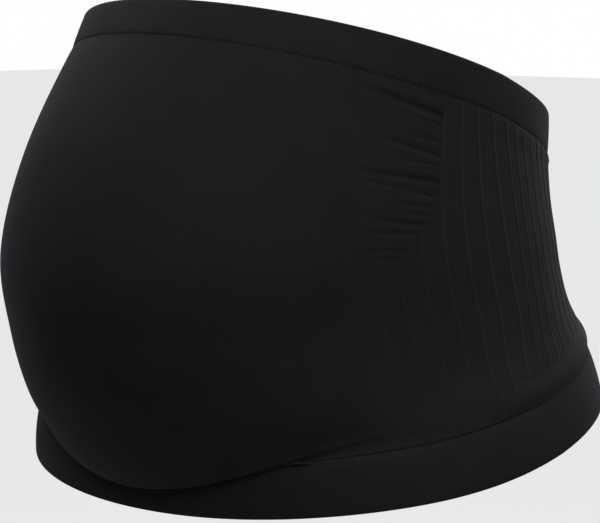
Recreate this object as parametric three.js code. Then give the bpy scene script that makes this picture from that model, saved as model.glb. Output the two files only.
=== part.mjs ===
// A maternity support belt: a seamless knitted band that holds a pregnant belly from below.
// It keeps the form it has when worn. Millimetres, +Z up; the wearer faces -Y and has their left side at +X.
// The origin is on the body axis, level with the lowest point of the hem at the centre front.

import * as THREE from 'three';
import { mergeVertices } from 'three/addons/utils/BufferGeometryUtils.js';

// How far the worn cloth stands out from the body axis
const BELLY_REACH = 201;
const HIP_REACH = 170;
const SEAT_REACH = 115;

// Height of the panels between the two bands, straight up
const FRONT_HEIGHT = 219;
const SIDE_HEIGHT = 146;
const BACK_HEIGHT = 63;

// How much higher the hem band sits at the sides and at the back than in front
const SIDE_LIFT = 29;
const BACK_LIFT = 70;

// The belly sags over the hem band in a fold, deepest at the centre front
const FOLD_DROP = 25;
const FOLD_HALF_SPAN = THREE.MathUtils.degToRad(55);

// The two doubled bands: width of the cloth, its thickness and how far its middle bulges
const HEM_BAND_WIDTH = 29.5;
const TOP_BAND_WIDTH = 22.5;
const BAND_WALL = 2.4;
const BAND_CROWN = 0.9;

// The single jersey of the belly panel and of the support panel
const JERSEY_WALL = 1.6;

// Raised ribs of the support panel, evenly spaced all round, and how far they lean back towards the hips
const RIB_COUNT = 84;
const RIB_WIDTH = 2.2;
const RIB_RISE = 0.6;
const RIB_DRIFT = THREE.MathUtils.degToRad(6);

// Over the hips they come forward again, between these two courses, and so run down nearly straight
const RIB_RETURN = THREE.MathUtils.degToRad(6.4);
const RIB_RETURN_FROM = 3.0;
const RIB_RETURN_TO = 0.2;

// The rib where the support panel's front edge turns up to the top band, counted from the centre front
const CORNER_RIB = 17;

// Gathers in the belly panel, drawn up where it meets the support panel
const GATHER_DEPTH = 3;
const GATHER_WIDTH = 3;
const GATHER_REACH = 22;

// Clearances between neighbouring pieces, along the cloth; the slanting edge needs the wider one
const GAP = 0.3;
const SLANT_GAP = 0.6;

// How finely the cloth is divided
const BAND_COLUMNS = 60;
const BAND_ROWS = 4;
const SUPPORT_LOWER_ROWS = 6;
const SUPPORT_UPPER_ROWS = 2;
const BELLY_LOWER_ROWS = 9;
const FINE_RIBS = 3;

const RIB_STEP = 2 * Math.PI / RIB_COUNT;

// Courses of the panels, from the hem band up. Heights are shares of FRONT_, SIDE_ and BACK_HEIGHT; reaches
// are shares of BELLY_, HIP_ and SEAT_REACH; round is the front's squareness, 2 being an ellipse; sag is a
// share of FOLD_DROP.
const COURSES = [
  { up: [0.00, 0.00, 0.00], out: [0.692, 0.955, 0.91], round: 2.23, sag: 0.10 },   // hem band
  { up: [0.04, 0.07, 0.10], out: [0.731, 0.937, 0.895], round: 2.09, sag: 1.00 },  // fold
  { up: [0.10, 0.18, 0.24], out: [0.874, 0.88, 0.89], round: 1.95, sag: 0.07 },    // under the belly
  { up: [0.26, 0.36, 0.43], out: [0.975, 0.84, 0.885], round: 1.9, sag: 0 },       // lower belly
  { up: [0.47, 0.54, 0.60], out: [1.00, 0.82, 0.88], round: 2.0, sag: 0 },         // widest
  { up: [0.73, 0.75, 0.79], out: [0.905, 0.795, 0.88], round: 2.0, sag: 0 },       // upper belly
  { up: [1.00, 1.00, 1.00], out: [0.70, 0.77, 0.91], round: 2.0, sag: 0 },         // top band
];
const LAST_COURSE = COURSES.length - 1;
const BACK_ROUND = 2.33;

// How far each band leans out over its width, away from the panels, as shares of that width
const HEM_LEAN = [-0.105, 0.285, 0.31];
const TOP_LEAN = [-0.57, -0.04, 0.16];

// Upper edge of the support panel: under the belly it runs from rib to rib at these courses
const PANEL_EDGE = [
  { rib: 0, course: 2.36 },
  { rib: 5, course: 2.42 },
  { rib: 8, course: 2.58 },
  { rib: 10, course: 2.78 },
  { rib: 12.5, course: 3.25 },
  { rib: 14.6, course: 3.80 },
  { rib: 16.5, course: 4.52 },
  { rib: CORNER_RIB, course: 4.88 },
];
const CORNER_COURSE = PANEL_EDGE.at(-1).course;

// The courses where the ribs fade out over the hem band: at the crease in front, and above a plain strip
// from the hips back, with the ribs between which the one passes into the other
const RIB_END = { front: 0.15, back: 1.2, fade: 0.4, fromRib: 17, toRib: 20 };

// Within this many courses of a band, a panel's wall is cut along the band's own normal
const SEAM_REACH = 0.05;

// Main gathers: the course each valley follows, and shares of GATHER_DEPTH, _WIDTH and _REACH
const GATHERS = [
  { course: 5.78, depth: 1.0, width: 1.2, reach: 1.6 },
  { course: 5.56, depth: 0.5, width: 0.9, reach: 0.6 },
  { course: 5.30, depth: 0.8, width: 1.1, reach: 1.1 },
  { course: 4.97, depth: 0.9, width: 1.0, reach: 1.2 },
  { course: 4.70, depth: 0.6, width: 0.9, reach: 0.7 },
  { course: 4.42, depth: 0.9, width: 1.1, reach: 0.8 },
  { course: 4.10, depth: 0.6, width: 1.0, reach: 0.5 },
];

// A smooth column of the course table, read at any course between its rows
function courseColumn(read) {
  const cubic = new THREE.CubicInterpolant(COURSES.keys().toArray(), COURSES.map(read), 1);
  return (course) => cubic.evaluate(course)[0];
}

const columns = {
  up: [0, 1, 2].map((side) => courseColumn((row) => row.up[side])),
  out: [0, 1, 2].map((side) => courseColumn((row) => row.out[side])),
  round: courseColumn((row) => row.round),
  sag: courseColumn((row) => row.sag),
};

const REACHES = [BELLY_REACH, HIP_REACH, SEAT_REACH];
const HEIGHTS = [FRONT_HEIGHT, SIDE_HEIGHT, BACK_HEIGHT];
const LIFTS = [0, SIDE_LIFT, BACK_LIFT];
const HEM_SAG = COURSES[0].sag * FOLD_DROP;
const HEM_LEVEL = HEM_BAND_WIDTH * Math.sqrt(1 - HEM_LEAN[0] ** 2) + HEM_SAG;

// One ring of cloth round the body, given by three values each (front, side, back)
function panelRing(course) {
  return {
    reach: REACHES.map((size, side) => size * columns.out[side](course)),
    level: HEIGHTS.map((size, side) => HEM_LEVEL + LIFTS[side] + size * columns.up[side](course)),
    round: columns.round(course),
    sag: FOLD_DROP * columns.sag(course),
  };
}

// A ring of a band: the panels' end ring, carried on along the lean of the band
function bandRing(end, width, lean, direction, share) {
  const ring = panelRing(end);
  return {
    ...ring,
    reach: ring.reach.map((reach, side) => reach + width * share * lean[side]),
    level: ring.level.map((level, side) =>
      level + direction * width * share * Math.sqrt(1 - lean[side] ** 2)),
  };
}

// A point of a ring: the angle is 0 at the centre front and 90 degrees at the wearer's left
function onRing({ reach, level, round, sag }, angle) {
  const cos = Math.cos(angle);
  const sin = Math.sin(angle);
  const front = cos > 0;
  const power = front ? round : BACK_ROUND;
  const radius = (Math.abs(cos) ** power + Math.abs(sin) ** power) ** (-1 / power);
  const [atFront, atSide, atBack] = level;
  const mean = (atFront + atBack) / 4 + atSide / 2;
  const turned = Math.atan2(sin, cos);
  const droop = Math.abs(turned) < FOLD_HALF_SPAN ? Math.cos(turned / FOLD_HALF_SPAN * Math.PI / 2) ** 2 : 0;
  return new THREE.Vector3(
    reach[1] * sin * radius,
    -(front ? reach[0] : reach[2]) * cos * radius,
    mean + (atFront - atBack) / 2 * cos + (mean - atSide) * Math.cos(2 * angle) - sag * droop,
  );
}

// Where a rib has got to at a course: it keeps its place at the top and leans back as it runs down
function leanBack(angle, course) {
  const drift = RIB_DRIFT * (1 - course / LAST_COURSE);
  const back = RIB_RETURN * (1 - THREE.MathUtils.smoothstep(course, RIB_RETURN_TO, RIB_RETURN_FROM));
  return angle + (drift - back) * Math.sin(angle) * Math.abs(Math.sin(angle));
}

// The cloth's outer surfaces: of the panels, by rib angle and course, and of the bands, by angle and share
const panelSurface = (angle, course) => onRing(panelRing(course), leanBack(angle, course));
const hemSurface = (angle, share) =>
  onRing(bandRing(0, HEM_BAND_WIDTH, HEM_LEAN, -1, 1 - share), angle);
const topSurface = (angle, share) =>
  onRing(bandRing(LAST_COURSE, TOP_BAND_WIDTH, TOP_LEAN, 1, share), angle);

function outwardNormal(surface, angle, along) {
  const step = 1e-3;
  const across = surface(angle + step, along).sub(surface(angle - step, along));
  const up = surface(angle, along + step).sub(surface(angle, along - step));
  return across.cross(up).normalize();
}

function offBand(surface, angle, share, distance) {
  return surface(angle, share).addScaledVector(outwardNormal(surface, angle, share), distance);
}

// A point off the panels, edge to edge with the bands
function offPanel(angle, course, distance) {
  let normal;
  if (course < SEAM_REACH) normal = outwardNormal(hemSurface, leanBack(angle, course), 1);
  else if (course > LAST_COURSE - SEAM_REACH) normal = outwardNormal(topSurface, angle, 0);
  else normal = outwardNormal(panelSurface, angle, course);
  return panelSurface(angle, course).addScaledVector(normal, distance);
}

// A course moved up or down the cloth by a length
function alongCloth(angle, course, length) {
  const step = 1e-3;
  return course + length * 2 * step /
    panelSurface(angle, course + step).distanceTo(panelSurface(angle, course - step));
}

// A closed wall of cloth over a grid of columns and rows. Where inside is set, a column also has a point on
// the inner face; the outer columns between two such columns are joined to them along the edges.
function clothGeometry({ count, rows, closed, inside, filled, outer, inner }) {
  const points = [];
  const triangle = (a, b, c) => {
    const same = a.distanceTo(b) < 1e-5 || b.distanceTo(c) < 1e-5 || c.distanceTo(a) < 1e-5;
    if (!same) points.push(a, b, c);
  };
  const quad = (a, b, c, d) => {
    triangle(a, b, c);
    triangle(a, c, d);
  };
  const stops = [...Array(count).keys()].filter(inside);
  if (closed) stops.push(stops[0] + count);
  const spans = stops.slice(0, -1).map((from, k) => [from, stops[k + 1]]);
  const has = (span, row) => span >= 0 && span < spans.length && row >= 0 && row < rows &&
    filled(spans[span][0] % count, row);
  const wrap = (span) => closed ? (span + spans.length) % spans.length : span;
  const face = (column, row) => outer(column % count, row);
  const lining = (column, row) => inner(column % count, row);

  spans.forEach(([from, to], span) => {
    for (let row = 0; row < rows; row++) {
      if (!has(span, row)) continue;
      for (let i = from; i < to; i++) {
        quad(face(i, row), face(i + 1, row), face(i + 1, row + 1), face(i, row + 1));
        if (!has(span, row + 1)) triangle(lining(from, row + 1), face(i, row + 1), face(i + 1, row + 1));
        if (!has(span, row - 1)) triangle(lining(from, row), face(i + 1, row), face(i, row));
      }
      if (!has(span, row + 1)) triangle(lining(from, row + 1), face(to, row + 1), lining(to, row + 1));
      if (!has(span, row - 1)) triangle(lining(from, row), lining(to, row), face(to, row));
      quad(lining(from, row), lining(from, row + 1), lining(to, row + 1), lining(to, row));
      if (!has(wrap(span + 1), row)) {
        quad(face(to, row), lining(to, row), lining(to, row + 1), face(to, row + 1));
      }
      if (!has(wrap(span - 1), row)) {
        quad(face(from, row), face(from, row + 1), lining(from, row + 1), lining(from, row));
      }
    }
  });
  const geometry = new THREE.BufferGeometry().setFromPoints(points);
  const merged = mergeVertices(geometry, 1e-4);
  merged.computeVertexNormals();
  return merged;
}

// A doubled band, knitted with the panels: a ring whose middle bulges a little
function bandGeometry(surface, lowShare, highShare) {
  const angleOf = (column) => 2 * Math.PI * column / BAND_COLUMNS;
  const shareOf = (row) => THREE.MathUtils.lerp(lowShare, highShare, row / BAND_ROWS);
  const crown = (row) => BAND_CROWN * (1 - (2 * row / BAND_ROWS - 1) ** 2);
  return clothGeometry({
    count: BAND_COLUMNS,
    rows: BAND_ROWS,
    closed: true,
    inside: () => true,
    filled: () => true,
    outer: (column, row) => offBand(surface, angleOf(column), shareOf(row), crown(row)),
    inner: (column, row) => offBand(surface, angleOf(column), shareOf(row), -BAND_WALL),
  });
}

// The course of the support panel's upper edge at a place counted in ribs, straight from rib to rib
function edgeCourse(place) {
  const atRib = (rib) => {
    const next = Math.max(1, PANEL_EDGE.findIndex((point) => point.rib >= rib));
    const [low, high] = [PANEL_EDGE[next - 1], PANEL_EDGE[next]];
    return THREE.MathUtils.mapLinear(rib, low.rib, high.rib, low.course, high.course);
  };
  const rib = Math.min(Math.abs(place), CORNER_RIB);
  return THREE.MathUtils.lerp(atRib(Math.floor(rib)), atRib(Math.ceil(rib)), rib % 1);
}

// Half a rib's width as an angle, measured at the hips
const HALF_RIB = RIB_WIDTH / 2 / HIP_REACH;
const CORNER_ANGLE = CORNER_RIB * RIB_STEP - HALF_RIB;

// The support panel: back, sides and a strip under the belly, with a raised rib at every step
function supportGeometry() {
  const half = RIB_COUNT / 2;
  const places = [];
  for (let rib = -half; rib < half; rib++) {
    const angle = rib * RIB_STEP;
    const centre = rib === 0 || rib === -half;
    places.push({ angle: angle - HALF_RIB, crest: 0, inside: centre || rib > 0 });
    places.push({ angle, crest: 1, inside: false });
    places.push({ angle: angle + HALF_RIB, crest: 0, inside: centre || rib < 0 });
  }
  // Above the corners, the spans from the one corner round the front to the other are left to the belly
  const onBelly = (angle) => angle > -CORNER_ANGLE - HALF_RIB && angle < CORNER_ANGLE - HALF_RIB;
  const courseOf = (angle, row) => {
    const edge = alongCloth(angle, edgeCourse(angle / RIB_STEP), -SLANT_GAP / 2);
    if (row > SUPPORT_LOWER_ROWS) {
      const share = (row - SUPPORT_LOWER_ROWS) / SUPPORT_UPPER_ROWS;
      return THREE.MathUtils.lerp(edge, alongCloth(angle, LAST_COURSE, -GAP / 2), share);
    }
    // Closer together towards the fold
    const share = (row / SUPPORT_LOWER_ROWS) ** 1.4;
    return THREE.MathUtils.lerp(alongCloth(angle, 0, GAP / 2), edge, share);
  };
  const ribRise = (angle, course) => {
    const passed = THREE.MathUtils.smoothstep(Math.abs(angle) / RIB_STEP, RIB_END.fromRib, RIB_END.toRib);
    const end = THREE.MathUtils.lerp(RIB_END.front, RIB_END.back, passed) - RIB_END.fade / 2;
    return RIB_RISE * THREE.MathUtils.smoothstep(course, end, end + RIB_END.fade);
  };
  return clothGeometry({
    count: places.length,
    rows: SUPPORT_LOWER_ROWS + SUPPORT_UPPER_ROWS,
    closed: true,
    inside: (column) => places[column].inside,
    filled: (column, row) => row < SUPPORT_LOWER_ROWS || !onBelly(places[column].angle),
    outer: (column, row) => {
      const { angle, crest } = places[column];
      const course = courseOf(angle, row);
      return offPanel(angle, course, crest * ribRise(angle, course));
    },
    inner: (column, row) => {
      const { angle } = places[column];
      return offPanel(angle, courseOf(angle, row), -JERSEY_WALL);
    },
  });
}

// How far the belly panel sinks into its gathers at a place counted in ribs
function gatherDepth(place, course) {
  const ribSpacing = HIP_REACH * RIB_STEP;
  const courseHeight = SIDE_HEIGHT / LAST_COURSE;
  const edge = PANEL_EDGE.find((point) => point.course >= course) ?? PANEL_EDGE.at(-1);
  const inset = Math.max(0, edge.rib - Math.abs(place)) * ribSpacing;
  return GATHERS.reduce((sum, gather) => {
    const across = (course - gather.course) * courseHeight / (gather.width * GATHER_WIDTH);
    const along = inset / (gather.reach * GATHER_REACH);
    return sum + gather.depth * GATHER_DEPTH * Math.exp(-(across ** 2) - along ** 2);
  }, 0);
}

// The belly panel: plain jersey over the belly, down to the support panel's edge
function bellyGeometry() {
  // A column at every rib, and at every half rib near the edge
  const edge = (CORNER_ANGLE - GAP / HIP_REACH) / RIB_STEP;
  const left = [];
  for (let place = 0; place < edge; place += place < CORNER_RIB - FINE_RIBS ? 1 : 0.5) left.push(place);
  left.push(edge);
  const places = [...left.slice(1).map((place) => -place).reverse(), ...left];
  // Rows down to the corner, one along each gather and one between; then even shares down to the edge
  const upperRows = [LAST_COURSE];
  for (const { course } of GATHERS.filter((gather) => gather.course > CORNER_COURSE)) {
    upperRows.push((upperRows.at(-1) + course) / 2, course);
  }
  upperRows.push(CORNER_COURSE);
  const rows = upperRows.length - 1 + BELLY_LOWER_ROWS;
  const courseOf = (place, row) => {
    const angle = place * RIB_STEP;
    const down = rows - row;
    if (down === 0) return alongCloth(angle, LAST_COURSE, -GAP / 2);
    if (down < upperRows.length) return upperRows[down];
    const low = Math.min(alongCloth(angle, edgeCourse(place), SLANT_GAP / 2), CORNER_COURSE);
    return THREE.MathUtils.lerp(CORNER_COURSE, low, (down - upperRows.length + 1) / BELLY_LOWER_ROWS);
  };
  const at = (column, row, wall) => {
    const course = courseOf(places[column], row);
    const sunk = gatherDepth(places[column], course);
    return offPanel(places[column] * RIB_STEP, course, -sunk - wall);
  };
  return clothGeometry({
    count: places.length,
    rows,
    closed: false,
    inside: () => true,
    filled: () => true,
    outer: (column, row) => at(column, row, 0),
    inner: (column, row) => at(column, row, JERSEY_WALL),
  });
}

function piece(name, geometry, material) {
  const mesh = new THREE.Mesh(geometry, material);
  mesh.name = name;
  return mesh;
}

const plainJersey = new THREE.MeshStandardMaterial({ color: 0x1c1d1f, roughness: 0.82, metalness: 0 });
const ribbedJersey = new THREE.MeshStandardMaterial({ color: 0x1f2023, roughness: 0.85, metalness: 0 });
const doubledRib = new THREE.MeshStandardMaterial({ color: 0x232427, roughness: 0.88, metalness: 0 });

const group = new THREE.Group();
group.name = 'maternity_support_belt';
group.add(
  piece('top_band', bandGeometry(topSurface, GAP / 2 / TOP_BAND_WIDTH, 1), doubledRib),
  piece('belly_panel', bellyGeometry(), plainJersey),
  piece('support_panel', supportGeometry(), ribbedJersey),
  piece('hem_band', bandGeometry(hemSurface, 0, 1 - GAP / 2 / HEM_BAND_WIDTH), doubledRib),
);

export default group;
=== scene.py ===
# A maternity support belt: one seamless knitted tube, in the form that it has when it is worn.
# Metres, +Z up. The wearer faces -Y and has their left side at +X. Small sizes are given in millimetres.

import math

import bpy
import numpy as np
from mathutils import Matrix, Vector


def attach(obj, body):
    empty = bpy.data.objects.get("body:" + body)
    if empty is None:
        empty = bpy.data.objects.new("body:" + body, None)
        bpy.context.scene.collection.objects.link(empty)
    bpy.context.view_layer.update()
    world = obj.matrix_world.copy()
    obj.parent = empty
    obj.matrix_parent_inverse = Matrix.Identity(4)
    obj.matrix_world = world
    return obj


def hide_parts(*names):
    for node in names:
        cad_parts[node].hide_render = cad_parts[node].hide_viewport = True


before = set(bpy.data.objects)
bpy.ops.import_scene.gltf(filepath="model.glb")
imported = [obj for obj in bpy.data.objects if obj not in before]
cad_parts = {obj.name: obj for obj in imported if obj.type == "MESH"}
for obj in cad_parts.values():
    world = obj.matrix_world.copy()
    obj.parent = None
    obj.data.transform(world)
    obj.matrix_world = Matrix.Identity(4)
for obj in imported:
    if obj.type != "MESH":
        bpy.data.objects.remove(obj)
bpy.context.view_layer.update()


# The view. A long lens, a little above the belt, in front and to the left of the wearer, as the
# photograph was taken. The belt fills the frame of 600 by 523 pixels.
VIEW_AZIMUTH = math.radians(42)
VIEW_ELEVATION = math.radians(6)
VIEW_DISTANCE = 1.5
VIEW_TARGET = Vector((0, -0.015, 0.1227))
VIEW_LENS = 162
VIEW_SENSOR = 36

camera = bpy.data.objects.new("camera", bpy.data.cameras.new("camera"))
bpy.context.scene.collection.objects.link(camera)
camera.data.lens = VIEW_LENS
camera.data.sensor_width = VIEW_SENSOR
towards_camera = Vector((
    math.sin(VIEW_AZIMUTH) * math.cos(VIEW_ELEVATION),
    -math.cos(VIEW_AZIMUTH) * math.cos(VIEW_ELEVATION),
    math.sin(VIEW_ELEVATION),
))
camera.location = VIEW_TARGET + towards_camera * VIEW_DISTANCE
camera.rotation_euler = towards_camera.to_track_quat("Z", "Y").to_euler()
bpy.context.scene.camera = camera


# The hem band. Where the tube begins, the knit is doubled back on itself as a one-by-one rib of nylon
# and elastane, so its lower edge is a soft round fold. It grips the hips, and bulges a little.
MM = 0.001

# How far the worn cloth stands out from the body axis, in front, at the side and at the back
REACHES = np.array([201, 170, 115]) * MM
# Height of the panels between the two bands, and how much higher the hem sits than in front
HEIGHTS = np.array([219, 146, 63]) * MM
LIFTS = np.array([0, 29, 70]) * MM
# The belly sags over the hem in a fold, deepest at the centre front
FOLD_DROP = 25 * MM
FOLD_HALF_SPAN = math.radians(55)
# The form, course by course from the hem up: heights and reaches are shares of the sizes above
COURSES = [
    {"up": [0.00, 0.00, 0.00], "out": [0.692, 0.955, 0.91], "round": 2.23, "sag": 0.10},   # hem band
    {"up": [0.04, 0.07, 0.10], "out": [0.731, 0.937, 0.895], "round": 2.09, "sag": 1.00},  # fold
    {"up": [0.10, 0.18, 0.24], "out": [0.874, 0.88, 0.89], "round": 1.95, "sag": 0.07},    # under the belly
    {"up": [0.26, 0.36, 0.43], "out": [0.975, 0.84, 0.885], "round": 1.9, "sag": 0},       # lower belly
    {"up": [0.47, 0.54, 0.60], "out": [1.00, 0.82, 0.88], "round": 2.0, "sag": 0},         # widest
    {"up": [0.73, 0.75, 0.79], "out": [0.905, 0.795, 0.88], "round": 2.0, "sag": 0},       # upper belly
    {"up": [1.00, 1.00, 1.00], "out": [0.70, 0.77, 0.91], "round": 2.0, "sag": 0},         # top band
]
LAST_COURSE = len(COURSES) - 1
BACK_ROUND = 2.33
HEM_WIDTH = 29.5 * MM
HEM_LEAN = np.array([-0.105, 0.285, 0.31])
HEM_LEVEL = HEM_WIDTH * math.sqrt(1 - HEM_LEAN[0] ** 2) + COURSES[0]["sag"] * FOLD_DROP
BAND_WALL = 2.4 * MM
BAND_CROWN = 0.9 * MM
# The inner face runs on this far behind the jersey, so that no light comes through the join
BAND_LAP = 1.0 * MM
# The one-by-one rib: its spacing, how deep its furrows are, how far apart its stitches are, and how much
# painted shade darkens the gaps between its stitches
RIB_KNIT_PITCH = 1.8 * MM
RIB_KNIT_DEPTH = 0.06 * MM
RIB_KNIT_STITCH = 1.3 * MM
RIB_KNIT_GAP_SHADE = 0.14
# How much of the furrows' depth is left on the outer face, round the fold and on the inner face
FURROW_OUTER = 1.0
FURROW_FOLD = 0.8
FURROW_INNER = 0.3
# Where the rib is joined to the jersey, the cloth is drawn in along a row of small eyelets
JOIN_DEPTH = 0.8 * MM
JOIN_WIDTH = 1.5 * MM
HEM_GIRTH = 958 * MM
EYELETS = round(HEM_GIRTH / RIB_KNIT_PITCH / 2)
RIB_KNIT_COLOUR = "#28282b"
# The yarn in the light: nearly matt, with a faint cool sheen
YARN_FINISH = {
    "Roughness": 0.72,
    "Specular IOR Level": 0.22,
    "Sheen Weight": 0.12,
    "Sheen Roughness": 0.45,
    "Sheen Tint": (0.86, 0.86, 1.0, 1.0),
}
# One stitch: how steeply its two legs climb, how far they reach across, how much its loop adds to them,
# the height from which its colour is no longer darkened by painted shade, and how far it stands out
STITCH_SLANT = 1.3
STITCH_LEG = 0.42
STITCH_LOOP = 0.22
STITCH_LIT = 1.1
STITCH_RELIEF = 0.05 * MM
# Filaments lie a little unevenly, and the tension varies over a centimetre or two
FUZZ = {"Scale": 900.0, "Detail": 2.0}
FUZZ_SHARE = 0.5
TENSION = {"Scale": 60.0, "Detail": 4.0}
TENSION_RANGE = (0.35, 0.65)
TENSION_SHADES = (0.93, 1.05)
# How much a painted highlight lightens a raised wale, and how far from its middle it fades, in spacings of
# such wales
RAISED_WALE_PAINTED_HIGHLIGHT = 1.14
RAISED_WALE_HIGHLIGHT_EDGE = (0.05, 0.1)
# Cloth turns smoothly, up to the angle of its cut edges at the joins
CRISP_FROM = math.radians(60)


def course_column(name, course):
    """A smooth column of the course table, read at any course between its rows."""
    rows = np.array([row[name] for row in COURSES], float)
    slopes = np.gradient(rows, axis=0)
    slopes[0] = 1.5 * (rows[1] - rows[0]) - slopes[1] / 2
    slopes[-1] = 1.5 * (rows[-1] - rows[-2]) - slopes[-2] / 2
    low = np.clip(np.floor(course).astype(int), 0, LAST_COURSE - 1)
    t = course - low
    if rows.ndim > 1:
        t = t[..., None]
    return (
        (2 * t**3 - 3 * t**2 + 1) * rows[low]
        + (t**3 - 2 * t**2 + t) * slopes[low]
        + (3 * t**2 - 2 * t**3) * rows[low + 1]
        + (t**3 - t**2) * slopes[low + 1]
    )


def panel_ring(course):
    """Reaches, levels, squareness and sag of the cloth round the body at a course."""
    reach = REACHES * course_column("out", course)
    level = HEM_LEVEL + LIFTS + HEIGHTS * course_column("up", course)
    return reach, level, course_column("round", course), FOLD_DROP * course_column("sag", course)


def on_ring(ring, angle):
    """Points of a ring. The angle is 0 at the centre front and 90 degrees at the wearer's left."""
    reach, level, roundness, sag = ring
    cos, sin = np.cos(angle), np.sin(angle)
    front = cos > 0
    power = np.where(front, roundness, BACK_ROUND)
    radius = (np.abs(cos) ** power + np.abs(sin) ** power) ** (-1 / power)
    mean = (level[..., 0] + level[..., 2]) / 4 + level[..., 1] / 2
    turned = np.arctan2(sin, cos)
    droop = np.where(np.abs(turned) < FOLD_HALF_SPAN, np.cos(turned / FOLD_HALF_SPAN * np.pi / 2) ** 2, 0)
    return np.stack([
        reach[..., 1] * sin * radius,
        -np.where(front, reach[..., 0], reach[..., 2]) * cos * radius,
        mean + (level[..., 0] - level[..., 2]) / 2 * cos + (mean - level[..., 1]) * np.cos(2 * angle)
        - sag * droop,
    ], axis=-1)


def band_surface(end, width, lean, direction, angle, share):
    """The outer face of a band: the panels' end ring, carried on along the lean of the band."""
    reach, level, roundness, sag = panel_ring(np.full_like(share, end))
    reach = reach + width * share[..., None] * lean
    level = level + direction * width * share[..., None] * np.sqrt(1 - lean**2)
    return on_ring((reach, level, roundness, sag), angle)


def hem_surface(angle, share):
    """Share 0 is the lower edge and 1 is the join with the panels."""
    return band_surface(0.0, HEM_WIDTH, HEM_LEAN, -1, angle, 1 - share)


def outward(surface, angle, along):
    """The outward normals of a surface."""
    step = 1e-3
    across = surface(angle + step, along) - surface(angle - step, along)
    up = surface(angle, along + step) - surface(angle, along - step)
    normal = np.cross(across, up)
    return normal / np.linalg.norm(normal, axis=-1, keepdims=True)


def flat_cloth(name, columns, rows):
    """A flat grid of cloth. Returns it with the column and the row of each of its points."""
    bpy.ops.object.select_all(action="DESELECT")
    bpy.ops.mesh.primitive_grid_add(x_subdivisions=columns, y_subdivisions=rows, size=1, calc_uvs=True)
    cloth = bpy.context.object
    cloth.name = cloth.data.name = name
    place = np.zeros(len(cloth.data.vertices) * 3)
    cloth.data.vertices.foreach_get("co", place)
    place = place.reshape(-1, 3) + 0.5
    return cloth, np.rint(place[:, 0] * columns).astype(int), np.rint(place[:, 1] * rows).astype(int)


def lay_out(cloth, points, knit):
    """Moves each point of the cloth to its place, and sets the UV map to the knit's own millimetres."""
    cloth.data.vertices.foreach_set("co", points.ravel())
    corner = np.zeros(len(cloth.data.loops), np.int32)
    cloth.data.loops.foreach_get("vertex_index", corner)
    cloth.data.uv_layers[0].name = "knit"
    cloth.data.uv_layers[0].data.foreach_set("uv", (knit[corner] / MM).astype(np.float32).ravel())
    cloth.data.update()


def sew_shut(cloth):
    """Joins the two side edges of a rolled cloth, and any points that lie together."""
    bpy.ops.object.mode_set(mode="EDIT")
    bpy.ops.mesh.select_all(action="SELECT")
    bpy.ops.mesh.remove_doubles(threshold=1e-6)
    bpy.ops.mesh.normals_make_consistent(inside=False)
    bpy.ops.object.mode_set(mode="OBJECT")
    bpy.ops.object.shade_smooth_by_angle(angle=CRISP_FROM)


def join_dip(angle, distance, depth):
    """How far the cloth is drawn in at a distance from a join, deeper at the eyelets."""
    eyelet = 0.5 + 0.5 * np.cos(EYELETS * angle)
    return depth * np.exp(-((distance / JOIN_WIDTH) ** 2)) * (0.5 + 0.5 * eyelet)


def band_piece(name, surface, width, girth, join_at, edge_at, join_depth, crown):
    """A doubled band of one-by-one rib: down its outer face, round the fold and up its inner face."""
    ribs = round(girth / RIB_KNIT_PITCH)
    per_rib = 4
    # Down the outer face, round the fold in a half circle, and up the inner face
    outer_rows = 9
    fold_rows = 5
    inner_rows = 4
    radius = BAND_WALL / 2
    fold_share = radius / width
    profile = []
    for step in range(outer_rows):
        t = step / outer_rows
        profile.append((t * (1 - fold_share), crown * (1 - (2 * t - 1) ** 2), FURROW_OUTER))
    for step in range(fold_rows + 1):
        turn = math.pi * step / fold_rows
        past_fold = 1 - fold_share + fold_share * math.sin(turn)
        profile.append((past_fold, radius * (math.cos(turn) - 1), FURROW_FOLD))
    for step in range(1, inner_rows + 1):
        profile.append(((1 - fold_share) * (1 - step / inner_rows), -BAND_WALL, FURROW_INNER))
    profile.append((-BAND_LAP / width, -BAND_WALL, FURROW_INNER))
    profile.append(profile[0])
    down, off, furrow = (np.array(values) for values in zip(*profile))

    columns = ribs * per_rib
    cloth, column, row = flat_cloth(name, columns, len(profile) - 1)
    angle = 2 * np.pi * column / columns
    share = join_at + (edge_at - join_at) * down[row]
    across = down[row] * width
    wave = 0.5 - 0.5 * np.cos(2 * np.pi * column / per_rib)
    join = np.where(off[row] > -BAND_WALL, join_dip(angle, across, join_depth), 0)
    # The furrows run out at the join, where the two knits meet edge to edge
    wave = wave * (1 - np.exp(-((across / JOIN_WIDTH) ** 2)))
    lift = off[row] - RIB_KNIT_DEPTH * wave * furrow[row] - join
    points = surface(angle, share) + outward(surface, angle, share) * lift[:, None]
    # Furrows run along the rib, so one rib is one step of the map across, and its length is real
    length = np.concatenate([[0], np.cumsum(np.hypot(np.diff(down) * width, np.diff(off)))])
    lay_out(cloth, points, np.stack([column / per_rib * RIB_KNIT_PITCH, length[row]], axis=-1))
    sew_shut(cloth)
    return cloth


def add_node(tree, kind, settings=None, links=None):
    """Adds a node, with settings for itself or its sockets, and links from other nodes' sockets."""
    node = tree.nodes.new(kind)
    for key, value in (settings or {}).items():
        if isinstance(key, str) and hasattr(node, key):
            setattr(node, key, value)
        else:
            node.inputs[key].default_value = value
    for key, socket in (links or {}).items():
        tree.links.new(socket, node.inputs[key])
    return node


def add_math(tree, operation, *values):
    """Adds a maths node for numbers and other nodes' sockets, and returns the result's socket."""
    node = add_node(tree, "ShaderNodeMath", {"operation": operation})
    for place, value in enumerate(values):
        if isinstance(value, bpy.types.NodeSocket):
            tree.links.new(value, node.inputs[place])
        else:
            node.inputs[place].default_value = value
    return node.outputs[0]


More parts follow.
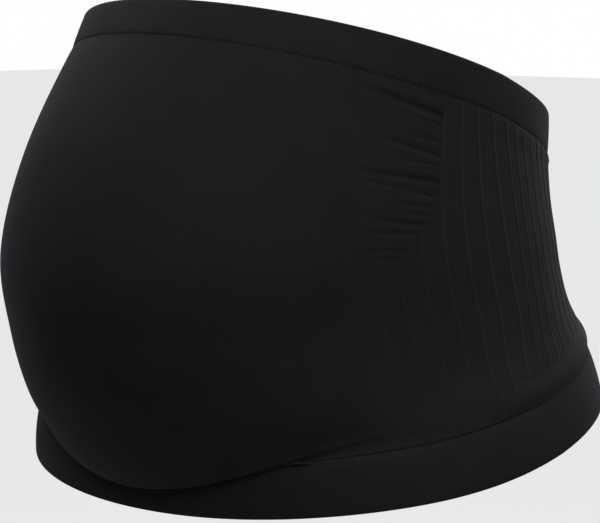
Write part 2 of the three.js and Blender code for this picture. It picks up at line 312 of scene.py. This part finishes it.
def add_range(tree, value, source, target, smooth=False):
    """Takes a socket's value from one range to another, and returns the result's socket."""
    return add_node(tree, "ShaderNodeMapRange", {
        "interpolation_type": "SMOOTHSTEP" if smooth else "LINEAR",
        "From Min": source[0], "From Max": source[1], "To Min": target[0], "To Max": target[1],
    }, {"Value": value}).outputs[0]


def colour_of(code):
    """An sRGB hex colour as a linear one."""
    parts = [int(code[i:i + 2], 16) / 255 for i in (1, 3, 5)]
    return [p / 12.92 if p <= 0.04045 else ((p + 0.055) / 1.055) ** 2.4 for p in parts]


def knit_finish(name, colour, wale, stitch, furrow, rib_every=0):
    """A black filament yarn knitted fine: V-shaped stitches up each wale, with painted shade darkening the
    furrows between them. It is matt from the front and takes a faint cool sheen where it turns away. One wale
    and one stitch are given in metres, and furrow is how much the painted shade darkens the gaps. A raised
    wale, one in every rib_every, is made a little lighter by a painted highlight along it."""
    material = bpy.data.materials.new(name)
    material.use_nodes = True
    tree = material.node_tree
    shader = tree.nodes["Principled BSDF"]
    uv = add_node(tree, "ShaderNodeUVMap", {"uv_map": "knit"})
    part = add_node(tree, "ShaderNodeSeparateXYZ", links={0: uv.outputs[0]})
    wales = add_math(tree, "DIVIDE", part.outputs[0], wale / MM)
    side = add_math(tree, "PINGPONG", wales, 0.5)
    rows = add_math(tree, "DIVIDE", part.outputs[1], stitch / MM)
    slanted = add_math(tree, "ADD", rows, add_math(tree, "MULTIPLY", side, STITCH_SLANT))
    wave = add_math(tree, "SINE", add_math(tree, "MULTIPLY", slanted, 2 * math.pi))
    legs = add_range(tree, side, (0.0, STITCH_LEG), (1.0, 0.0), smooth=True)
    height = add_math(tree, "ADD", legs, add_math(tree, "MULTIPLY", wave, STITCH_LOOP))
    place = add_node(tree, "ShaderNodeTexCoord").outputs["Object"]
    fuzz = add_node(tree, "ShaderNodeTexNoise", FUZZ, {"Vector": place}).outputs["Fac"]
    tension = add_node(tree, "ShaderNodeTexNoise", TENSION, {"Vector": place}).outputs["Fac"]
    rough = add_math(tree, "MULTIPLY_ADD", fuzz, FUZZ_SHARE, height)
    bump = add_node(tree, "ShaderNodeBump", {"Strength": 1.0, "Distance": STITCH_RELIEF}, {"Height": rough})
    tree.links.new(bump.outputs["Normal"], shader.inputs["Normal"])
    # Painted shade: the colour is darkened in the gaps between the stitches, by up to the share furrow
    painted_gap_shade = add_range(tree, height, (0.0, STITCH_LIT), (1 - furrow, 1.0))
    drift = add_range(tree, tension, TENSION_RANGE, TENSION_SHADES)
    shade = add_math(tree, "MULTIPLY", painted_gap_shade, drift)
    # Painted highlight: the colour is lightened along the crest of every raised wale
    if rib_every:
        ribs = add_math(tree, "DIVIDE", part.outputs[0], rib_every * wale / MM)
        off = add_math(tree, "PINGPONG", ribs, 0.5)
        light = add_range(tree, off, RAISED_WALE_HIGHLIGHT_EDGE, (RAISED_WALE_PAINTED_HIGHLIGHT, 1.0), smooth=True)
        shade = add_math(tree, "MULTIPLY", shade, light)
    tint = {"operation": "SCALE", 0: colour_of(colour)}
    yarn = add_node(tree, "ShaderNodeVectorMath", tint, {"Scale": shade})
    tree.links.new(yarn.outputs[0], shader.inputs["Base Color"])
    for key, value in YARN_FINISH.items():
        shader.inputs[key].default_value = value
    return material


doubled_rib = knit_finish(
    "doubled rib knit", RIB_KNIT_COLOUR, RIB_KNIT_PITCH, RIB_KNIT_STITCH, RIB_KNIT_GAP_SHADE,
)

hem = band_piece("hem_rib", hem_surface, HEM_WIDTH, HEM_GIRTH, 1.0, 0.0, JOIN_DEPTH, BAND_CROWN)
hem.data.materials.append(doubled_rib)
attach(hem, "root")
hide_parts("hem_band")


# The support panel. The back, the sides and a strip under the belly are a firmer single jersey, with one
# raised wale every centimetre or so; these stiff ribs stop short over a plain strip behind the hips.
RIB_COUNT = 84
RIB_STEP = 2 * math.pi / RIB_COUNT
RIB_WIDTH = 2.2 * MM
RIB_RISE = 0.21 * MM
RIB_DRIFT = math.radians(6)
# Over the hips the ribs come forward again, between these two courses, and so run down nearly straight
RIB_RETURN = math.radians(6.4)
RIB_RETURN_FROM = 3.0
RIB_RETURN_TO = 0.2
# Where the cloth is stretched most the ribs are flattened by this share. From the first to the second of
# two ribs they come to their full height, and sooner the higher up they are
RIB_FLATTENED = 0.9
RIB_STANDS_FROM = (9.5, 16)
RIB_STANDS_CLIMB = 1.5
RIB_STANDS_LEVEL = 2.5
JERSEY_WALL = 1.6 * MM
JERSEY_WALE = 1.35 * MM
JERSEY_STITCH = 1.5 * MM
# How much painted shade darkens the gaps between the jersey's stitches
JERSEY_GAP_SHADE = 0.12
WALES_PER_RIB = 8
# The rib at which the panel's front edge turns up to the top band, and the edge below it, rib by rib
CORNER_RIB = 17
PANEL_EDGE = {0: 2.36, 5: 2.42, 8: 2.58, 10: 2.78, 12.5: 3.25, 14.6: 3.80, 16.5: 4.52, CORNER_RIB: 4.88}
CORNER_COURSE = PANEL_EDGE[CORNER_RIB]
# The courses at which the ribs end in front and at the back, and the ribs where the one becomes the other
RIB_END_FRONT = 0.15
RIB_END_BACK = 1.25
RIB_END_FADE = 0.3
STRIP_FROM_RIB = 17
STRIP_TO_RIB = 20
# The plain strip under their ends bulges out, with a crease along its upper edge
STRIP_BULGE = 1.3 * MM
STRIP_CREASE = 0.7 * MM
STRIP_CREASE_WIDTH = 1.5 * MM
# The height of one course at the strip, and at the fold
STRIP_COURSE = 11 * MM
FOLD_COURSE = 14 * MM
# Under the belly the edge of the fold is a small roll in the cloth, which fades out between two angles
FOLD_ROLL = 0.8 * MM
FOLD_ROLL_WIDTH = 1.8 * MM
FOLD_ROLL_COURSE = 0.9
FOLD_ROLL_FADE = (FOLD_HALF_SPAN * 0.5, FOLD_HALF_SPAN * 1.3)
# The top band that the panels end at: its width and how far it leans out over it
TOP_WIDTH = 22.5 * MM
TOP_LEAN = np.array([-0.57, -0.04, 0.16])
TOP_JOIN_DEPTH = 0.3 * MM
TOP_BAND_CROWN = 0.25 * MM
# Behind the hips the jersey rolls out a little under the top band
TOP_ROLL = 0.9 * MM
TOP_ROLL_WIDTH = 1.8 * MM
TOP_ROLL_FROM = (17, 21)
SUPPORT_COLOUR = "#262629"
# Half a rib's width, counted in ribs
HALF_RIB = RIB_WIDTH / 2 / REACHES[1] / RIB_STEP
COURSE_HEIGHT = HEIGHTS[1] / LAST_COURSE
# Points at which the cloth is measured from the hem up to a course
MAP_POINTS = 25


def top_surface(angle, share):
    """The top band's outer face. Share 0 is the join with the panels and 1 is the upper edge."""
    return band_surface(float(LAST_COURSE), TOP_WIDTH, TOP_LEAN, 1, angle, share)


def smoothstep(value, low, high):
    """A smooth rise from 0 at low to 1 at high."""
    t = np.clip((value - low) / (high - low), 0, 1)
    return t * t * (3 - 2 * t)


def lean_back(angle, course):
    """Where a rib has got to at a course: it keeps its place at the top and leans back as it runs down."""
    drift = RIB_DRIFT * (1 - course / LAST_COURSE)
    back = RIB_RETURN * (1 - smoothstep(course, RIB_RETURN_TO, RIB_RETURN_FROM))
    return angle + (drift - back) * np.sin(angle) * np.abs(np.sin(angle))


def panel_surface(angle, course):
    """The panels' outer face, at the angle where a rib starts at the top and the course it has run to."""
    return on_ring(panel_ring(course), lean_back(angle, course))


def edge_course(place):
    """The course of the support panel's upper edge, at a place counted in ribs from the centre front."""
    return np.interp(np.abs(place), list(PANEL_EDGE), list(PANEL_EDGE.values()))


def panel_map(place, course):
    """The knit's own map: wales are counted across, and courses measured up the cloth."""
    steps = np.linspace(0, 1, MAP_POINTS)
    up = panel_surface(place[:, None] * RIB_STEP, course[:, None] * steps)
    length = np.linalg.norm(np.diff(up, axis=1), axis=-1).sum(axis=1)
    return np.stack([place * WALES_PER_RIB * JERSEY_WALE, length], axis=-1)


def thicken(cloth, wall):
    """Gives the cloth its wall, inwards. The points of the outer face stay the first ones."""
    outer = len(cloth.data.vertices)
    solid = cloth.modifiers.new("wall", "SOLIDIFY")
    solid.thickness = wall
    solid.offset = -1
    bpy.ops.object.select_all(action="DESELECT")
    cloth.select_set(True)
    bpy.context.view_layer.objects.active = cloth
    bpy.ops.object.modifier_apply(modifier=solid.name)
    return outer


def remember(cloth, **values):
    """Keeps a value for each point of the cloth while its mesh is worked on."""
    for name, value in values.items():
        attribute = cloth.data.attributes.new(name, "FLOAT", "POINT")
        attribute.data.foreach_set("value", value.astype(np.float32))


def recall(cloth, name):
    """Takes back a value kept by remember."""
    attribute = cloth.data.attributes[name]
    value = np.zeros(len(attribute.data), np.float32)
    attribute.data.foreach_get("value", value)
    cloth.data.attributes.remove(attribute)
    return value.astype(float)


def raise_face(cloth, outer, lift):
    """Moves the first points of the cloth, its outer face, off the form by a distance each."""
    points = np.zeros(len(cloth.data.vertices) * 3)
    cloth.data.vertices.foreach_get("co", points)
    points = points.reshape(-1, 3)
    place, course = recall(cloth, "place")[:outer], recall(cloth, "course")[:outer]
    angle = lean_back(place * RIB_STEP, course)
    normal = outward(panel_surface, place * RIB_STEP, course)
    # Next to a band the cloth is moved as the band's own edge is
    for surface, join_at, distance in (
        (hem_surface, 1.0, course * COURSE_HEIGHT),
        (top_surface, 0.0, (LAST_COURSE - course) * COURSE_HEIGHT),
    ):
        near = np.exp(-((distance / JOIN_WIDTH) ** 2))[:, None]
        normal = normal * (1 - near) + outward(surface, angle, np.full_like(angle, join_at)) * near
    points[:outer] += normal * lift(place, course)[:, None]
    cloth.data.vertices.foreach_set("co", points.ravel())
    cloth.data.update()
    bpy.ops.object.shade_smooth_by_angle(angle=CRISP_FROM)


def dips(place, course):
    """How far the jersey is drawn in where it meets the two bands, and how it rolls out under the top one."""
    angle = lean_back(place * RIB_STEP, course)
    at_hem = join_dip(angle, course * COURSE_HEIGHT, JOIN_DEPTH)
    below_top = (LAST_COURSE - course) * COURSE_HEIGHT
    rolled = np.exp(-((below_top / TOP_ROLL_WIDTH - 1) ** 2))
    roll = TOP_ROLL * smoothstep(np.abs(place), *TOP_ROLL_FROM) * rolled
    return at_hem + join_dip(angle, below_top, TOP_JOIN_DEPTH) - roll


# Points from the middle of one rib over the plain knit to the next, counted in ribs
rib_side = [share * HALF_RIB for share in (0, 0.45, 0.85, 1, 1.5)]
across_rib = rib_side + [0.5] + [1 - part for part in rib_side[:0:-1]]
rib_places = np.array([rib + part for rib in range(-RIB_COUNT // 2, RIB_COUNT // 2) for part in across_rib])
rib_places = np.append(rib_places, RIB_COUNT / 2)
# Rows below and above the front edge, the lower ones crowded towards the hem
LOWER_ROWS = 50
UPPER_ROWS = 10
LOWER_ROWS_CROWDING = 1.25
# Points closer than this, in ribs, lie at one place
SAME_PLACE = 1e-4
support, column, row = flat_cloth("support_jersey", len(rib_places) - 1, LOWER_ROWS + UPPER_ROWS)
place = rib_places[column]
share_up = np.clip(row / LOWER_ROWS, 0, 1) ** LOWER_ROWS_CROWDING
course = edge_course(place) * share_up
course += (LAST_COURSE - edge_course(place)) * np.clip((row - LOWER_ROWS) / UPPER_ROWS, 0, 1)
lay_out(support, panel_surface(place * RIB_STEP, course), panel_map(place, course))
remember(support, place=place, course=course)

# Above its front edge the panel leaves room for the belly panel
in_belly = (row > LOWER_ROWS) & (np.abs(place) < CORNER_RIB - HALF_RIB - SAME_PLACE)
bpy.ops.object.mode_set(mode="EDIT")
bpy.ops.mesh.select_all(action="DESELECT")
bpy.ops.object.mode_set(mode="OBJECT")
support.data.vertices.foreach_set("select", in_belly)
bpy.ops.object.mode_set(mode="EDIT")
bpy.ops.mesh.delete(type="VERT")
bpy.ops.object.mode_set(mode="OBJECT")
sew_shut(support)
outer = thicken(support, JERSEY_WALL)


def support_relief(place, course):
    """The raised ribs, the bulging strip behind the hips with the crease above it, the roll along the
    fold under the belly, and the dips at the joins."""
    off_rib = np.abs(place - np.rint(place)) / HALF_RIB
    passed = smoothstep(np.abs(place), STRIP_FROM_RIB, STRIP_TO_RIB)
    end = RIB_END_FRONT + (RIB_END_BACK - RIB_END_FRONT) * passed
    above_end = smoothstep(course, end - RIB_END_FADE / 2, end + RIB_END_FADE / 2)
    # Under the belly the cloth is stretched most, and the ribs are pulled nearly flat
    stands = smoothstep(np.abs(place) + RIB_STANDS_CLIMB * (course - RIB_STANDS_LEVEL), *RIB_STANDS_FROM)
    flattened = 1 - RIB_FLATTENED * (1 - stands)
    rib = RIB_RISE * np.sqrt(np.clip(1 - off_rib**2, 0, 1)) * above_end * flattened
    strip = STRIP_BULGE * passed * np.sin(np.pi * np.clip(course / RIB_END_BACK, 0, 1)) ** 2
    above_strip = (course - RIB_END_BACK) * STRIP_COURSE / STRIP_CREASE_WIDTH
    strip -= STRIP_CREASE * passed * np.exp(-(above_strip**2))
    rolled = np.exp(-(((course - FOLD_ROLL_COURSE) * FOLD_COURSE / FOLD_ROLL_WIDTH) ** 2))
    roll = FOLD_ROLL * rolled * (1 - smoothstep(np.abs(place) * RIB_STEP, *FOLD_ROLL_FADE))
    return rib + strip + roll - dips(place, course)


raise_face(support, outer, support_relief)
ribbed_jersey = knit_finish(
    "ribbed jersey", SUPPORT_COLOUR, JERSEY_WALE, JERSEY_STITCH, JERSEY_GAP_SHADE, rib_every=WALES_PER_RIB,
)
support.data.materials.append(ribbed_jersey)
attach(support, "root")
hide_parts("support_panel")


# The belly panel. Plain fine jersey, knitted with more courses than the panel beside it, so that it
# domes over the belly. The spare length is drawn up in gathers where it meets the support panel.
BELLY_COLOUR = "#252528"
GATHER_DEPTH = 1.15 * MM
GATHER_WIDTH = 1.8 * MM
# The ridge under each valley: its height, and how far below the valley it lies in widths
GATHER_RIDGE = 0.12
GATHER_RIDGE_BELOW = 1.7
# The height of one course beside the gathers
GATHER_COURSE = 38 * MM
GATHER_REACH = 26 * MM
# Along the join the gathers are held flatter by a share, over a short way
GATHER_HELD = 0.6
GATHER_START = 1.2 * MM
# Between the gathers the knit lies in finer ripples, which run on over the belly
RIPPLE_DEPTH = 0.1 * MM
RIPPLE_SPACING = 4.4 * MM
RIPPLE_REACH = 50 * MM
# The courses between which the ripples rise to their full depth
RIPPLE_COURSES = (3, 4)
# Each gather: the course of its valley at the edge, how many courses it climbs over its reach, and its
# depth, width and reach as shares of the sizes above
GATHERS = [
    {"course": 5.75, "climb": 0.10, "depth": 1.7, "width": 0.8, "reach": 2.0},
    {"course": 5.64, "climb": 0.04, "depth": 0.5, "width": 0.5, "reach": 0.7},
    {"course": 5.46, "climb": 0.00, "depth": 0.5, "width": 0.5, "reach": 0.5},
    {"course": 5.28, "climb": 0.12, "depth": 0.8, "width": 0.7, "reach": 1.3},
    {"course": 5.18, "climb": 0.02, "depth": 0.5, "width": 0.5, "reach": 1.1},
    {"course": 4.97, "climb": 0.05, "depth": 0.9, "width": 0.7, "reach": 1.4},
    {"course": 4.79, "climb": 0.09, "depth": 0.7, "width": 0.6, "reach": 1.1},
    {"course": 4.65, "climb": 0.04, "depth": 0.5, "width": 0.5, "reach": 0.6},
    {"course": 4.54, "climb": 0.04, "depth": 0.4, "width": 0.4, "reach": 0.5},
    {"course": 4.42, "climb": 0.08, "depth": 1.0, "width": 0.6, "reach": 1.0},
    {"course": 4.29, "climb": 0.05, "depth": 0.6, "width": 0.5, "reach": 0.8},
    {"course": 4.10, "climb": 0.03, "depth": 0.7, "width": 0.5, "reach": 0.7},
    {"course": 3.99, "climb": 0.03, "depth": 0.5, "width": 0.5, "reach": 0.6},
]


def gathers(place, course):
    """How deep the belly panel lies below its form: valleys, each with a soft ridge under it."""
    rib_spacing = REACHES[1] * RIB_STEP
    edge_rib = np.interp(course, list(PANEL_EDGE.values()), list(PANEL_EDGE))
    inset = np.maximum(0, edge_rib - np.abs(place)) * rib_spacing
    depth = np.zeros_like(place)
    for gather in GATHERS:
        along = inset / (gather["reach"] * GATHER_REACH)
        valley = gather["course"] + gather["climb"] * along
        across = (valley - course) * GATHER_COURSE / (gather["width"] * GATHER_WIDTH)
        fold = np.exp(-(across**2)) - GATHER_RIDGE * np.exp(-((across - GATHER_RIDGE_BELOW) ** 2))
        depth += gather["depth"] * GATHER_DEPTH * fold * np.exp(-(along**2))
    # The finer ripples fade out over the belly and under it
    ripple = np.sin(2 * np.pi * course * GATHER_COURSE / RIPPLE_SPACING - inset / GATHER_REACH)
    fade = np.exp(-((inset / RIPPLE_REACH) ** 2))
    depth += RIPPLE_DEPTH * ripple * fade * smoothstep(course, *RIPPLE_COURSES)
    # The cloth is one with the support panel, so the gathers start from near its level
    return depth * (1 - GATHER_HELD * np.exp(-((inset / GATHER_START) ** 2)))


# Columns about a millimetre apart by the gathers, over the width of four ribs, and wider apart between
GATHERED_RIBS = 4
GATHERED_COLUMNS = 45
MIDDLE_COLUMNS = 92
belly_edge = CORNER_RIB - HALF_RIB
near_edge = np.linspace(belly_edge - GATHERED_RIBS, belly_edge, GATHERED_COLUMNS)
middle = np.linspace(-near_edge[0], near_edge[0], MIDDLE_COLUMNS)[1:-1]
belly_places = np.concatenate([-near_edge[::-1], middle, near_edge])
BELLY_LOWER_ROWS = 88
BELLY_UPPER_ROWS = 84
belly, column, row = flat_cloth("belly_jersey", len(belly_places) - 1, BELLY_LOWER_ROWS + BELLY_UPPER_ROWS)
place = belly_places[column]
low = np.minimum(edge_course(place), CORNER_COURSE)
course = low + (CORNER_COURSE - low) * np.clip(row / BELLY_LOWER_ROWS, 0, 1)
course += (LAST_COURSE - CORNER_COURSE) * np.clip((row - BELLY_LOWER_ROWS) / BELLY_UPPER_ROWS, 0, 1)
lay_out(belly, panel_surface(place * RIB_STEP, course), panel_map(place, course))
remember(belly, place=place, course=course)
sew_shut(belly)
outer = thicken(belly, JERSEY_WALL)
raise_face(belly, outer, lambda place, course: -gathers(place, course) - dips(place, course))
plain_jersey = knit_finish("plain jersey", BELLY_COLOUR, JERSEY_WALE, JERSEY_STITCH, JERSEY_GAP_SHADE)
belly.data.materials.append(plain_jersey)
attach(belly, "root")
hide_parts("belly_panel")


# The top band. The tube ends in a second doubled band of the same rib, narrower than the hem, which lies
# on the upper belly in front and stands up at the back.
TOP_GIRTH = 815 * MM

top = band_piece("top_rib", top_surface, TOP_WIDTH, TOP_GIRTH, 0.0, 1.0, TOP_JOIN_DEPTH, TOP_BAND_CROWN)
top.data.materials.append(doubled_rib)
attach(top, "root")
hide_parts("top_band")


# The studio. A floor well below the belt, white all round, and six soft boxes: a broad key above and in
# front with a faint fill under it, one on the right, one for each edge of the belt in the picture, and
# one behind.
FLOOR_LEVEL = -0.45
FLOOR_SIZE = 30
FLOOR_COLOUR = (0.26, 0.26, 0.26, 1)
FLOOR_GLOW = 0.8
AMBIENT = 0.02
LIGHT_DISTANCE = 2.0

bpy.ops.object.select_all(action="DESELECT")
bpy.ops.mesh.primitive_plane_add(size=FLOOR_SIZE, location=(0, 0, FLOOR_LEVEL))
floor = bpy.context.object
floor.name = "floor"
paper = bpy.data.materials.new("white paper")
paper.use_nodes = True
tree = paper.node_tree
tree.nodes["Principled BSDF"].inputs["Base Color"].default_value = FLOOR_COLOUR
glow = add_node(tree, "ShaderNodeEmission", {"Strength": 1.0})
seen = add_node(tree, "ShaderNodeLightPath")
amount = add_math(tree, "MULTIPLY", seen.outputs["Is Camera Ray"], FLOOR_GLOW)
both = add_node(tree, "ShaderNodeMixShader", links={
    0: amount, 1: tree.nodes["Principled BSDF"].outputs[0], 2: glow.outputs[0],
})
tree.links.new(both.outputs[0], tree.nodes["Material Output"].inputs["Surface"])
floor.data.materials.append(paper)

world = bpy.data.worlds.new("studio")
bpy.context.scene.world = world
world.use_nodes = True
tree = world.node_tree
seen = add_node(tree, "ShaderNodeLightPath")
amount = add_range(tree, seen.outputs["Is Camera Ray"], (0.0, 1.0), (AMBIENT, 1.0))
tree.nodes["Background"].inputs["Color"].default_value = (1, 1, 1, 1)
tree.links.new(amount, tree.nodes["Background"].inputs["Strength"])


def soft_box(name, azimuth, elevation, size, power):
    """A square soft light that faces the belt, its azimuth counted from the wearer's front."""
    light = bpy.data.objects.new(name, bpy.data.lights.new(name, "AREA"))
    bpy.context.scene.collection.objects.link(light)
    light.data.shape = "SQUARE"
    light.data.size = size
    light.data.energy = power
    light.visible_camera = False
    azimuth, elevation = math.radians(azimuth), math.radians(elevation)
    away = Vector((
        math.sin(azimuth) * math.cos(elevation),
        -math.cos(azimuth) * math.cos(elevation),
        math.sin(elevation),
    ))
    light.location = VIEW_TARGET + away * LIGHT_DISTANCE
    light.rotation_euler = away.to_track_quat("Z", "Y").to_euler()


soft_box("key", azimuth=36, elevation=48, size=1.6, power=11.3)
soft_box("fill", azimuth=20, elevation=8, size=1.6, power=0.9)
soft_box("right", azimuth=86, elevation=32, size=1.2, power=5.6)
soft_box("left_edge", azimuth=-74, elevation=45, size=1.0, power=5.2)
soft_box("right_edge", azimuth=172, elevation=25, size=1.4, power=7)
soft_box("back", azimuth=222, elevation=35, size=1.6, power=14)

bpy.context.scene.view_settings.view_transform = "Standard"
